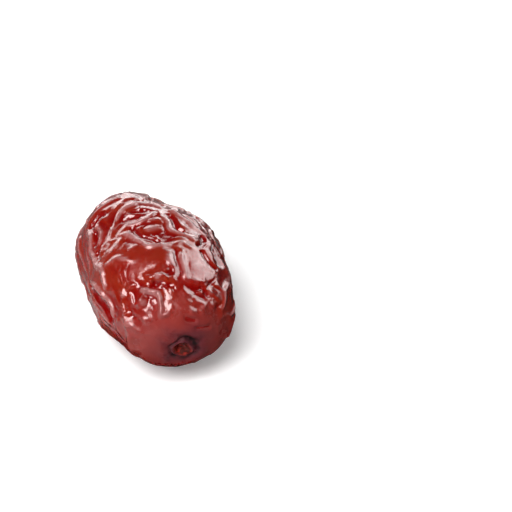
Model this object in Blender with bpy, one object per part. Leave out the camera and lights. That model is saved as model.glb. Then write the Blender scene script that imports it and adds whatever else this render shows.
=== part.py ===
"""A dried jujube, the wrinkled red date, lying on its side.

The fruit is one solid. A blunt, slightly skewed ellipsoid gives its body, and a
formula raises the dried skin from it: soft lumps, the long folds that show from a
step away, the net of finer ridges between them, the crumples above the stem end,
and the cup where the stem was. The stem end points to -Y, +Z is up, and the fruit
rests on a small flat spot at the origin.

A place on the fruit is given by two angles in degrees. Latitude runs from -90 at the
stem end to 90 at the far end. Longitude runs round it from 0 on top, towards +X.
"""

import math

import bmesh
import bpy
import numpy as np

MM = 0.001

# The body: half lengths along Y, X and Z, and how blunt, tapered and bent it is
HALF_LENGTH = 23.1 * MM
HALF_WIDTH = 15.5 * MM
HALF_HEIGHT = 13.3 * MM
BLUNTNESS = 2.3
TAPER = 0.04
BEND = -0.5 * MM
SKEW = -2.96 * MM

# The resting spot: how far above the body's lowest point the fruit is cut flat
REST_CUT = 0.6 * MM
CUTTER_DEPTH = 5 * MM

# Where the body's middle lies, so that the origin is under the middle of the whole fruit
MIDDLE = (0.38 * MM, 0.0 * MM, HALF_HEIGHT - REST_CUT)

# The mesh: how finely the formula is sampled, and the triangles that are kept
SUBDIVISIONS = 7
TRIANGLES = 11000

# Lumps and dents of the body: latitude, longitude, radius and height
LUMPS = [
    (52, 42, 5.5 * MM, -0.9 * MM),
    (26, 65, 5.0 * MM, 0.4 * MM),
    (62, 0, 5.0 * MM, 1.0 * MM),
    (5, -95, 10.0 * MM, -0.7 * MM),
    (-28, 90, 8.0 * MM, -0.8 * MM),
    (-60, -140, 6.0 * MM, 0.5 * MM),
    (-62, 138, 6.0 * MM, 0.4 * MM),
]
SWELL_HEIGHT = 0.2 * MM
SWELL_LENGTH = 13 * MM

# The stem cup, and the rings in it: distance from its middle, width and height
STEM_SPOT = (-86.5, 180)
CUP_RADIUS = 3.2 * MM
CUP_DEPTH = 1.1 * MM
CUP_RINGS = [
    (2.75 * MM, 0.50 * MM, -0.35 * MM),
    (1.90 * MM, 0.55 * MM, 0.55 * MM),
    (0.00 * MM, 1.10 * MM, -1.10 * MM),
]

# What makes the cup uneven: height and length of the waves in its outline and in its floor
CUP_WOBBLE = (0.20 * MM, 3.5 * MM)
CUP_ROUGHNESS = (0.12 * MM, 1.6 * MM)

# The dimple at the far end, where the flower was
TIP_SPOT = (90, 0)
TIP_RADIUS = 1.8 * MM
TIP_DEPTH = 0.7 * MM

# The net of ridges between cells that are drawn out along the fruit
NET_HEIGHT = 0.7 * MM
NET_SINK = 0.3 * MM
NET = {
    "spacing": (2.2 * MM, 3.8 * MM),
    "stretch": 2.0,
    "crest": 0.28 * MM,
    "skirt": 1.0 * MM,
    "weakest": 0.1,
    "tilt": 0.05,
    "step": 0.06 * MM,
}

# The crumples: finer cells, where the skin is pinched
CRUMPLE_HEIGHT = 0.3 * MM
CRUMPLES = {
    "spacing": (1.5 * MM, 2.6 * MM),
    "stretch": 1.0,
    "crest": 0.25 * MM,
    "skirt": 0.7 * MM,
    "weakest": 0.25,
    "tilt": 0.18,
    "step": 0.10 * MM,
}

# Where the net is calmer: latitude, longitude, radius and the share that is left
CALM = [
    (-90, 0, 11.0 * MM, 0.0),
    (-30, -45, 6.5 * MM, 0.2),
    (-30, 32, 6.5 * MM, 0.1),
    (-37, -18, 5.5 * MM, 0.15),
    (-5, -64, 9.0 * MM, 0.35),
    (0, 180, 9.0 * MM, 0.5),
]

# Where the skin is crumpled: latitude, longitude and radius
CRUMPLED = [
    (-58, -42, 4.5 * MM),
    (-51, -12, 3.2 * MM),
    (-60, 38, 4.5 * MM),
]

# The long folds of the front: height and half width in millimetres, and the places they run through
FOLDS = [
    # over the far end and the top
    (0.55, 0.60, [(39, -57), (43, -48), (46, -38), (49, -25), (50, -10)]),
    (0.85, 0.60, [(22, -32), (27, -26), (33, -20), (38, -9), (41, -2), (37, 9), (30, 20)]),
    (0.95, 0.60, [(30, 20), (24, 27), (16, 29), (11, 36), (3, 39), (-1, 45), (4, 50)]),
    (0.45, 0.55, [(38, -30), (40, -22), (45, -15)]),
    (0.45, 0.55, [(36, -38), (40, -35), (44, -30)]),
    (0.70, 0.65, [(8, -27), (12, -18), (13, -12), (15, -4), (19, 4), (23, 12)]),
    (0.60, 0.50, [(12, -7), (11, 0), (9, 7), (10, 12)]),
    (0.60, 0.90, [(2, -12), (-1, -6), (-2, 2), (1, 9)]),
    (0.45, 0.80, [(15, 8), (8, 8), (1, 9)]),
    (0.50, 0.65, [(-14, -20), (-20, -25), (-26, -30)]),
    (0.70, 0.60, [(18, 13), (8, 13), (-2, 13), (-8, 19), (-11, 26), (-15, 33), (-19, 36)]),
    (0.90, 0.60, [(4, -31), (-2, -24), (-8, -20), (-17, -17), (-24, -11), (-25, 4), (-22, 15)]),
    (0.45, 0.50, [(4, -31), (9, -25)]),
    (0.45, 0.50, [(-16, -6), (-16, 0), (-18, 3)]),
    (0.55, 0.55, [(26, 33), (23, 40), (17, 45), (10, 50)]),
    (0.60, 0.55, [(9, 26), (3, 30), (-2, 37)]),
    # along the left flank
    (0.90, 0.60, [(38, -57), (20, -59), (3, -61), (-8, -62), (-17, -59), (-26, -59), (-37, -67)]),
    (0.65, 0.55, [(29, -55), (28, -50), (24, -46), (17, -45), (10, -49), (6, -56)]),
    (0.50, 0.50, [(2, -48), (-4, -52), (-12, -57)]),
    (0.65, 0.55, [(-21, -58), (-22, -50), (-23, -42), (-28, -35), (-32, -27)]),
    (0.75, 0.55, [(44, -71), (33, -74), (20, -78), (8, -80), (-6, -84), (-18, -87)]),
    (0.65, 0.50, [(22, -64), (13, -66), (2, -69), (-8, -76)]),
    (0.75, 0.45, [(-2, -31), (-7, -36), (-13, -42)]),
    (1.05, 0.60, [(-9, -76), (-20, -73), (-29, -72), (-38, -72), (-45, -76), (-49, -84)]),
    (0.55, 0.60, [(-49, -84), (-54, -90), (-58, -97)]),
    (0.70, 0.65, [(-14, -91), (-24, -89), (-38, -90), (-48, -90)]),
    # round the pinch above the stem end
    (1.10, 0.50, [(-51, -38), (-55, -32), (-60, -24), (-65, -25), (-70, -32), (-71, -23), (-69, -11)]),
    (0.90, 0.60, [(-47, -20), (-50, -13), (-51, -5)]),
    (0.85, 0.60, [(-44, -50), (-48, -53), (-52, -50)]),
    (0.85, 0.60, [(-55, -43), (-60, -42), (-63, -42)]),
    (0.70, 0.50, [(-57, -58), (-61, -59)]),
    (0.75, 0.55, [(-62, -55), (-66, -53), (-69, -47)]),
    (0.60, 0.50, [(-46, -44), (-49, -38)]),
    (0.60, 0.50, [(-55, -6), (-60, -9)]),
    (0.65, 0.45, [(-58, 3), (-61, 6)]),
    # down the right shoulder
    (0.70, 0.60, [(-29, 8), (-37, 3), (-47, 3)]),
    (0.65, 0.60, [(-30, 17), (-40, 15), (-50, 15), (-58, 14)]),
    (0.35, 1.20, [(-42, 17), (-43, 26), (-41, 35)]),
    (0.40, 1.30, [(-54, 17), (-56, 26), (-55, 36)]),
    (0.60, 0.55, [(-16, 14), (-17, 22), (-19, 29)]),
    (0.60, 0.55, [(-24, 11), (-23, 20), (-25, 27), (-28, 33)]),
    (0.80, 0.55, [(-5, 51), (-12, 48), (-18, 44), (-22, 41)]),
    (0.75, 0.60, [(-21, 44), (-27, 47), (-33, 50)]),
    (0.70, 0.55, [(-5, 53), (-12, 57), (-22, 61)]),
    (0.75, 0.60, [(-61, 24), (-61, 31), (-62, 37)]),
    (0.65, 0.50, [(-65, 26), (-65, 33)]),
    (0.70, 0.50, [(-53, 41), (-57, 44), (-61, 47)]),
    (0.65, 0.60, [(-61, 44), (-63, 51), (-65, 56)]),
    (0.70, 0.55, [(-70, 8), (-71, 18), (-73, 30)]),
    (0.55, 0.50, [(-66, 17), (-68, 24)]),
]

# The deepest hollows between them: depth and half width in millimetres, and where they run
HOLLOWS = [
    (0.60, 0.90, [(33, -54), (35, -46), (38, -39)]),
    (0.50, 0.70, [(28, -9), (28, -2)]),
    (0.50, 0.80, [(21, -20), (20, -10)]),
    (0.45, 0.70, [(5, -19), (-6, -15), (-14, -8), (-20, -1)]),
    (0.40, 0.60, [(-9, -4), (-8, 8)]),
    (0.70, 0.90, [(16, 20), (4, 20), (-3, 24)]),
    (0.60, 0.90, [(22, -51), (14, -53)]),
    (0.60, 0.90, [(0, -55), (-7, -55)]),
    (0.90, 1.30, [(-14, -79), (-25, -77), (-36, -77), (-45, -82)]),
    (0.60, 0.80, [(-53, -22), (-55, -10)]),
    (0.60, 0.60, [(-64, -20), (-68, -24)]),
    (0.90, 0.90, [(-6, 43), (-13, 41), (-18, 38)]),
    (0.80, 0.80, [(-13, 50), (-20, 51), (-28, 56)]),
    (0.70, 0.60, [(-27, 40), (-33, 43), (-36, 51)]),
    (0.60, 0.90, [(-31, 11), (-40, 11), (-50, 11)]),
    (0.50, 0.60, [(-57, 33), (-60, 40)]),
    (0.50, 0.60, [(-63, 26), (-63, 36)]),
    (0.50, 0.70, [(-75, 12), (-75, 25)]),
    (0.35, 0.45, [(-79, 42), (-77, 52), (-75, 62)]),
]

# The long folds of the back, the underside and the far end, which are drawn at random: how many,
# how far apart, the number of steps and the angle of each, how sharply they turn, and their
# heights and half widths in millimetres
BACK_FOLDS = 86
BACK_APART = 3.0 * MM
BACK_STEPS = (3, 5)
BACK_STEP = 9
BACK_TURN = 26
BACK_HEIGHTS = (0.55, 0.95)
BACK_WIDTHS = (0.48, 0.60)

# Where these folds may run: the middle of the front, how far round to it they reach, the
# latitude beyond which they run anywhere, and the spots they leave clear with their radii
FRONT = (-24, -11)
FRONT_EDGE = 0.08
FAR_END = 55
CLEAR_SPOTS = [(0, 180, 7 * MM), (90, 0, 4 * MM)]

# The troughs beside the folds, as shares of each fold's height and width
TROUGH_DEPTH = 0.5
TROUGH_WIDTH = 2.6

# How a fold ends: the length over which it sinks, and the share of its height that is left
FOLD_END = 2.0 * MM
FOLD_END_SHARE = 0.2

# How the net dies away beside a fold: the share that is left, and how shallow a trough does it
NET_BY_FOLD = 0.15
NET_FADE = 0.05 * MM

# What bends the ridges' straight sides: height and length of each set of waves
WANDER = [(0.50 * MM, 5.5 * MM), (0.08 * MM, 2.0 * MM)]
FOLD_WANDER = 0.4

# How the formula is worked out
SPOT_TRIES = 9000
NEIGHBOURS = 6
CHUNK = 4000
CURVE_STEPS = 6
CREST_SHARE = 0.55
CREST_ROUNDING = 0.8
SMOOTH_JOIN = 4


def direction(latitude, longitude):
    """The unit vector from the fruit's middle to this place on it."""
    lat = math.radians(latitude)
    lon = math.radians(longitude)
    return np.array([math.cos(lat) * math.sin(lon), math.sin(lat), math.cos(lat) * math.cos(lon)])


def directions_of(places):
    """The unit vectors from the fruit's middle to these places on it."""
    return np.array([direction(*place) for place in places])


def body(directions):
    """The smooth body's surface in each of these directions from its middle."""
    across = np.hypot(directions[:, 0] / HALF_WIDTH, directions[:, 2] / HALF_HEIGHT)
    along = np.abs(directions[:, 1]) / HALF_LENGTH
    reach = (across**BLUNTNESS + along**BLUNTNESS) ** (-1 / BLUNTNESS)
    points = directions * reach[:, None]
    station = points[:, 1] / HALF_LENGTH
    points[:, 0] *= 1 + TAPER * station
    points[:, 2] *= 1 + TAPER * station
    points[:, 0] += BEND * station**2 + SKEW * station
    return points


def distance_from(points, latitude, longitude):
    """How far each point is from this place on the body."""
    place = body(direction(latitude, longitude)[None, :])[0]
    return np.linalg.norm(points - place, axis=1)


def ease(low, high, values):
    """A smooth step from 0 at low to 1 at high."""
    t = np.clip((values - low) / (high - low), 0, 1)
    return t * t * (3 - 2 * t)


def bump(distance, width):
    """A soft bump, 1 at its middle."""
    return np.exp(-((distance / width) ** 2))


def ridge(distance, width):
    """A sharp ridge with a slightly rounded crest, 1 on its line."""
    rounding = width * CREST_ROUNDING
    return np.exp((rounding - np.hypot(distance, rounding)) / width)


def highest(heights):
    """The highest of these at each point, joined smoothly."""
    return sum(height**SMOOTH_JOIN for height in heights) ** (1 / SMOOTH_JOIN)


def waves(points, length, seed, count=32):
    """A soft random swell of about this wavelength, made of plane waves."""
    rng = np.random.default_rng(seed)
    headings = rng.normal(size=(count, 3))
    headings /= np.linalg.norm(headings, axis=1, keepdims=True)
    lengths = length * rng.uniform(0.8, 1.3, (count, 1))
    phases = rng.uniform(0, 2 * math.pi, count)
    return np.sin(points @ (headings * 2 * math.pi / lengths).T + phases).sum(1) * math.sqrt(2 / count)


def wander(points, seed):
    """How far each point is pushed about, which bends straight lines drawn over the skin."""
    push = np.zeros_like(points)
    for height, length in WANDER:
        for axis in range(3):
            push[:, axis] += height * waves(points, length, seed)
            seed += 1
    return push


def scattered_spots(spacing, stretch, seed):
    """Spots on the body, kept apart by a distance that changes slowly over it."""
    rng = np.random.default_rng(seed)
    headings = rng.normal(size=(SPOT_TRIES, 3))
    headings /= np.linalg.norm(headings, axis=1, keepdims=True)
    points = body(headings) / np.array([1, stretch, 1])
    share = np.clip(0.5 + 0.4 * waves(points, 12 * MM, seed + 1), 0, 1)
    gaps = spacing[0] + (spacing[1] - spacing[0]) * share
    kept = points[:1]
    for point, gap in zip(points, gaps):
        if np.min(np.linalg.norm(kept - point, axis=1)) > gap:
            kept = np.vstack([kept, point])
    return kept


def cells(points, seed, spacing, stretch, crest, skirt, weakest, tilt, step):
    """Ridges, from 0 to 1, where cells round scattered spots meet, and the cells' uneven floors."""
    rng = np.random.default_rng(seed)
    spots = scattered_spots(spacing, stretch, seed + 10)
    placed = (points + wander(points, seed + 20)) / np.array([1, stretch, 1])
    strength = np.triu(rng.uniform(weakest, 1, (len(spots), len(spots))), 1)
    strength += strength.T
    slopes = rng.normal(size=(len(spots), 3)) * tilt
    steps = rng.normal(size=len(spots)) * step
    ridges = np.empty(len(points))
    floor = np.empty(len(points))
    for start in range(0, len(points), CHUNK):
        part = slice(start, start + CHUNK)
        squared = ((placed[part, None, :] - spots[None]) ** 2).sum(2)
        near = np.argsort(squared, axis=1)[:, :NEIGHBOURS]
        own = near[:, :1]
        gaps = np.take_along_axis(squared, near, 1)
        apart = np.linalg.norm(spots[near] - spots[own], axis=2)
        apart[:, 0] = 1
        edge = (gaps - gaps[:, :1]) / (2 * apart)
        shape = CREST_SHARE * ridge(edge, crest) + (1 - CREST_SHARE) * ridge(edge, skirt)
        shape *= strength[own, near]
        ridges[part] = highest(shape[:, 1:].T)
        share = np.exp(-edge / (0.6 * crest))
        share[:, 0] = 1
        lean = ((placed[part, None, :] - spots[near]) * slopes[near]).sum(2) + steps[near]
        floor[part] = (share * lean).sum(1) / share.sum(1)
    return ridges, floor


def unit(vector):
    """The vector of length 1 that points the same way."""
    return vector / np.linalg.norm(vector)


def curve_through(heads):
    """A smooth curve over the body through the places in these directions."""
    heads = np.vstack([2 * heads[0] - heads[1], heads, 2 * heads[-1] - heads[-2]])
    curve = []
    for a, b, c, d in zip(heads, heads[1:], heads[2:], heads[3:]):
        for t in np.arange(CURVE_STEPS) / CURVE_STEPS:
            bent = 2 * b + (c - a) * t + (2 * a - 5 * b + 4 * c - d) * t**2 + (3 * b - a - 3 * c + d) * t**3
            curve.append(unit(bent))
    return body(np.array(curve + [unit(heads[-2])]))


def distance_to_curve(points, curve):
    """Each point's distance from the curve, and the distance along it to its nearer end."""
    starts = curve[:-1]
    sides = np.diff(curve, axis=0)
    lengths = np.linalg.norm(sides, axis=1)
    travelled = np.concatenate([[0], np.cumsum(lengths)[:-1]])
    offsets = points[:, None, :] - starts[None]
    t = np.clip((offsets * sides).sum(2) / lengths**2, 0, 1)
    gaps = np.linalg.norm(offsets - t[:, :, None] * sides, axis=2)
    best = gaps.argmin(1)
    rows = np.arange(len(points))
    along = travelled[best] + t[rows, best] * lengths[best]
    return gaps[rows, best], np.minimum(along, lengths.sum() - along)


def drawn_path(rng):
    """The directions of a path that starts anywhere, runs along the fruit and turns at every step."""
    head = unit(rng.normal(size=3))
    turn = math.radians(BACK_TURN) * rng.normal()
    heads = [head]
    for _ in range(rng.integers(*BACK_STEPS, endpoint=True)):
        along = unit(np.array([0, 1, 0]) - head * head[1])
        across = np.cross(along, head)
        step = along * math.cos(turn) + across * math.sin(turn)
        head = unit(head + math.tan(math.radians(BACK_STEP)) * step)
        turn += math.radians(BACK_TURN) * rng.normal()
        heads.append(head)
    return np.array(heads)


def on_the_back(heads):
    """Whether each of these directions points away from the front or to the far end."""
    away = heads @ direction(*FRONT) < FRONT_EDGE
    far_end = heads[:, 1] > math.sin(math.radians(FAR_END))
    return (away | far_end).all()


def back_folds():
    """The folds that are drawn at random, with their middles kept apart."""
    rng = np.random.default_rng(7)
    middles = np.full((1, 3), np.inf)
    drawn = []
    while len(drawn) < BACK_FOLDS:
        heads = drawn_path(rng)
        places = body(heads)
        middle = places[len(places) // 2]
        clear = all(distance_from(places, lat, lon).min() > radius for lat, lon, radius in CLEAR_SPOTS)
        apart = np.linalg.norm(middles - middle, axis=1).min() > BACK_APART
        if on_the_back(heads) and clear and apart:
            middles = np.vstack([middles, middle])
            drawn.append((rng.uniform(*BACK_HEIGHTS), rng.uniform(*BACK_WIDTHS), heads))
    return drawn


def front_folds():
    """The folds that are placed one by one."""
    return [(height, width, directions_of(places)) for height, width, places in FOLDS]


def beside(points, heads, reach):
    """Which points lie near the curve through these heads, how far off it, and how far from its ends."""
    curve = curve_through(heads)
    near = np.where(((points > curve.min(0) - reach) & (points < curve.max(0) + reach)).all(1))[0]
    gap, end = distance_to_curve(points[near], curve)
    return near, gap, end


def folds(points):
    """The heights of the long folds' crests, and the depths of the troughs and hollows between them."""
    crests = np.zeros(len(points))
    troughs = np.zeros(len(points))
    placed = points + FOLD_WANDER * wander(points, 70)
    for height, width, heads in front_folds() + back_folds():
        side = TROUGH_WIDTH * width * MM
        near, gap, end = beside(placed, heads, 3 * side)
        strong = height * MM * (FOLD_END_SHARE + (1 - FOLD_END_SHARE) * ease(0, FOLD_END, end))
        crests[near] = highest([crests[near], strong * ridge(gap, width * MM)])
        troughs[near] = np.maximum(troughs[near], TROUGH_DEPTH * strong * bump(gap, side))
    for depth, width, places in HOLLOWS:
        near, gap, end = beside(placed, directions_of(places), 3 * width * MM)
        troughs[near] = np.maximum(troughs[near], depth * MM * bump(gap, width * MM))
    return crests, troughs


def calmness(points):
    """The share of the net that is left at each point."""
    share = np.ones(len(points))
    for latitude, longitude, radius, left in CALM:
        distance = distance_from(points, latitude, longitude)
        share *= left + (1 - left) * ease(0.6 * radius, 1.1 * radius, distance)
    return share


def crumpledness(points):
    """How crumpled the skin is at each point, from 0 to 1."""
    share = np.zeros(len(points))
    for latitude, longitude, radius in CRUMPLED:
        distance = distance_from(points, latitude, longitude)
        share = np.maximum(share, ease(1.25 * radius, 0.6 * radius, distance))
    return share


def wrinkles(points):
    """How far the ridges of the skin are raised, and how far the skin between them is sunk."""
    ridges, floor = cells(points, seed=100, **NET)
    pinches, facets = cells(points, seed=200, **CRUMPLES)
    crests, troughs = folds(points)
    calm = calmness(points)
    crumpled = crumpledness(points)
    by_fold = NET_BY_FOLD + (1 - NET_BY_FOLD) * np.exp(-troughs / NET_FADE)
    raised = highest([NET_HEIGHT * ridges * calm * by_fold, crests, CRUMPLE_HEIGHT * pinches * crumpled])
    sunk = troughs + (NET_SINK - floor) * calm - facets * crumpled
    return raised, sunk


def lumps(points):
    """The soft lumps and dents of the whole body."""
    height = SWELL_HEIGHT * waves(points, SWELL_LENGTH, seed=5)
    for latitude, longitude, radius, rise in LUMPS:
        height += rise * bump(distance_from(points, latitude, longitude), radius)
    return height


def cup_distance(points):
    """How far each point is from the stem cup's middle, made uneven so that the cup isn't quite round."""
    wobble, length = CUP_WOBBLE
    return distance_from(points, *STEM_SPOT) + wobble * waves(points, length, seed=60)


def stem_cup(points):
    """The cup at the stem end, with its groove, its collar and its pit."""
    distance = cup_distance(points)
    height = -CUP_DEPTH * ease(1.5 * CUP_RADIUS, 0.4 * CUP_RADIUS, distance)
    for radius, width, rise in CUP_RINGS:
        height += rise * bump(distance - radius, width)
    roughness, length = CUP_ROUGHNESS
    return height + roughness * waves(points, length, seed=61) * bump(distance, CUP_RADIUS)


def tip_dimple(points):
    """The dimple at the far end."""
    return -TIP_DEPTH * bump(distance_from(points, *TIP_SPOT), TIP_RADIUS)


def skin_mesh(name):
    """The whole fruit: a fine ball pushed out to the body, and then to the wrinkled skin."""
    ball = bmesh.new()
    bmesh.ops.create_icosphere(ball, subdivisions=SUBDIVISIONS, radius=1)
    mesh = bpy.data.meshes.new(name)
    ball.to_mesh(mesh)
    ball.free()
    directions = np.empty(len(mesh.vertices) * 3)
    mesh.vertices.foreach_get("co", directions)
    directions = directions.reshape(-1, 3)
    points = body(directions / np.linalg.norm(directions, axis=1, keepdims=True))
    mesh.vertices.foreach_set("co", points.ravel())
    mesh.update()
    normals = np.empty(len(mesh.vertices) * 3)
    mesh.vertex_normals.foreach_get("vector", normals)
    raised, sunk = wrinkles(points)
    height = raised - sunk + lumps(points) + stem_cup(points) + tip_dimple(points)
    points += normals.reshape(-1, 3) * height[:, None]
    points += MIDDLE
    mesh.vertices.foreach_set("co", points.ravel())
    mesh.update()
    return mesh


def skin_material():
    """Deep red, slightly glossy dried skin."""
    material = bpy.data.materials.new("skin")
    material.use_nodes = True
    shader = material.node_tree.nodes["Principled BSDF"]
    shader.inputs["Base Color"].default_value = (0.26, 0.010, 0.006, 1)
    shader.inputs["Roughness"].default_value = 0.28
    shader.inputs["Metallic"].default_value = 0.0
    return material


def floor_cutter():
    """The block that cuts the resting spot flat."""
    block = bmesh.new()
    bmesh.ops.create_cube(block, size=1)
    bmesh.ops.scale(block, vec=(4 * HALF_WIDTH, 4 * HALF_LENGTH, CUTTER_DEPTH), verts=block.verts)
    bmesh.ops.translate(block, vec=(0, 0, -CUTTER_DEPTH / 2), verts=block.verts)
    mesh = bpy.data.meshes.new("floor_cutter")
    block.to_mesh(mesh)
    block.free()
    cutter = bpy.data.objects.new("floor_cutter", mesh)
    cutter.hide_render = True
    cutter.display_type = "WIRE"
    return cutter


def dried_jujube(cutter):
    """The fruit, thinned to a light mesh and cut flat where it rests."""
    mesh = skin_mesh("dried_jujube")
    mesh.shade_smooth()
    mesh.materials.append(skin_material())
    fruit = bpy.data.objects.new("dried_jujube", mesh)
    thin = fruit.modifiers.new("thin", "DECIMATE")
    thin.ratio = TRIANGLES / len(mesh.polygons)
    cut = fruit.modifiers.new("resting_spot", "BOOLEAN")
    cut.operation = "DIFFERENCE"
    cut.solver = "EXACT"
    cut.object = cutter
    return fruit


def main():
    for old in list(bpy.data.objects):
        bpy.data.objects.remove(old)
    cutter = floor_cutter()
    for piece in (cutter, dried_jujube(cutter)):
        bpy.context.scene.collection.objects.link(piece)


main()
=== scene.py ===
"""How the dried jujube looks: its wrinkled skin in full detail, the skin's colours and gloss, and the
studio round it.

The skin stands for the fruit's plain solid. It has the same body, folds, net, crumples and stem cup, worked
out from the same values and the same formula on a finer mesh. Fine crinkles, and small creases round the
stem cup, are added.

A place on the fruit is given by two angles in degrees. Latitude runs from -90 at the stem end to 90 at the
far end. Longitude runs round it from 0 on top, towards +X.
"""

import math

import bmesh
import bpy
import numpy as np
from mathutils import Matrix, Vector


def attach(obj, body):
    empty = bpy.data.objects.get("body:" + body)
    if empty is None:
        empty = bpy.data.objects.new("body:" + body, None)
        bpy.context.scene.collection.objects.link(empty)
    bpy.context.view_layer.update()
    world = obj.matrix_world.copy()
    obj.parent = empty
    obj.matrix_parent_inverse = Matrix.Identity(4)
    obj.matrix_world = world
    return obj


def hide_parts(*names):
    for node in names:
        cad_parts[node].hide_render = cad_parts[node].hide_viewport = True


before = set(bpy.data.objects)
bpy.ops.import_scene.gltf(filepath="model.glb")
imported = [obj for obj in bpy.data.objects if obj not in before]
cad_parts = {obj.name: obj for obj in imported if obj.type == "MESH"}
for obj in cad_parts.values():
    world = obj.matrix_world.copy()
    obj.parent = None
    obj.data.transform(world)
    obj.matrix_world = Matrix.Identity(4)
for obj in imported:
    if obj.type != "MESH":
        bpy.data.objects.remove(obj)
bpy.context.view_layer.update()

MM = 0.001

# The body: half lengths along Y, X and Z, and how blunt, tapered and bent it is
HALF_LENGTH = 23.1 * MM
HALF_WIDTH = 15.5 * MM
HALF_HEIGHT = 13.3 * MM
BLUNTNESS = 2.3
TAPER = 0.04
BEND = -0.5 * MM
SKEW = -2.96 * MM

# The resting spot: how far above the body's lowest point the fruit is cut flat
REST_CUT = 0.6 * MM

# Where the body's middle lies, so that the origin is under the middle of the whole fruit
MIDDLE = (0.38 * MM, 0.0 * MM, HALF_HEIGHT - REST_CUT)

# Lumps and dents of the body: latitude, longitude, radius and height. A soft swell over all of it has
# its own height and length.
LUMPS = [
    (52, 42, 5.5 * MM, -0.9 * MM),
    (26, 65, 5.0 * MM, 0.4 * MM),
    (62, 0, 5.0 * MM, 1.0 * MM),
    (5, -95, 10.0 * MM, -0.7 * MM),
    (-28, 90, 8.0 * MM, -0.8 * MM),
    (-60, -140, 6.0 * MM, 0.5 * MM),
    (-62, 138, 6.0 * MM, 0.4 * MM),
]
SWELL_HEIGHT = 0.2 * MM
SWELL_LENGTH = 13 * MM

# The stem cup, where its wall begins and ends as shares of its radius, and the rings in it: distance
# from its middle, width and height
STEM_SPOT = (-86.5, 180)
CUP_RADIUS = 3.2 * MM
CUP_DEPTH = 1.1 * MM
CUP_WALL = (1.5, 0.4)
CUP_RINGS = [
    (2.75 * MM, 0.50 * MM, -0.35 * MM),
    (1.90 * MM, 0.55 * MM, 0.55 * MM),
    (0.00 * MM, 1.10 * MM, -1.10 * MM),
]

# What makes the cup uneven: height and length of the waves in its outline and in its floor
CUP_WOBBLE = (0.20 * MM, 3.5 * MM)
CUP_ROUGHNESS = (0.12 * MM, 1.6 * MM)

# The dimple at the far end, where the flower was
TIP_SPOT = (90, 0)
TIP_RADIUS = 1.8 * MM
TIP_DEPTH = 0.7 * MM

# The net of ridges between cells that are drawn out along the fruit
NET_HEIGHT = 0.7 * MM
NET_SINK = 0.3 * MM
NET = {
    "spacing": (2.2 * MM, 3.8 * MM),
    "stretch": 2.0,
    "crest": 0.28 * MM,
    "skirt": 1.0 * MM,
    "weakest": 0.1,
    "tilt": 0.05,
    "step": 0.06 * MM,
}

# The crumples: finer cells, where the skin is pinched
CRUMPLE_HEIGHT = 0.3 * MM
CRUMPLES = {
    "spacing": (1.5 * MM, 2.6 * MM),
    "stretch": 1.0,
    "crest": 0.25 * MM,
    "skirt": 0.7 * MM,
    "weakest": 0.25,
    "tilt": 0.18,
    "step": 0.10 * MM,
}

# Where the net is calmer: latitude, longitude, radius and the share that is left
CALM = [
    (-90, 0, 11.0 * MM, 0.0),
    (-30, -45, 6.5 * MM, 0.2),
    (-30, 32, 6.5 * MM, 0.1),
    (-37, -18, 5.5 * MM, 0.15),
    (-5, -64, 9.0 * MM, 0.35),
    (0, 180, 9.0 * MM, 0.5),
]

# Where the skin is crumpled: latitude, longitude and radius
CRUMPLED = [
    (-58, -42, 4.5 * MM),
    (-51, -12, 3.2 * MM),
    (-60, 38, 4.5 * MM),
]

# Where the edges of these calm and crumpled spots begin and end, as shares of their radii
CALM_EDGE = (0.6, 1.1)
CRUMPLED_EDGE = (1.25, 0.6)

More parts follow.
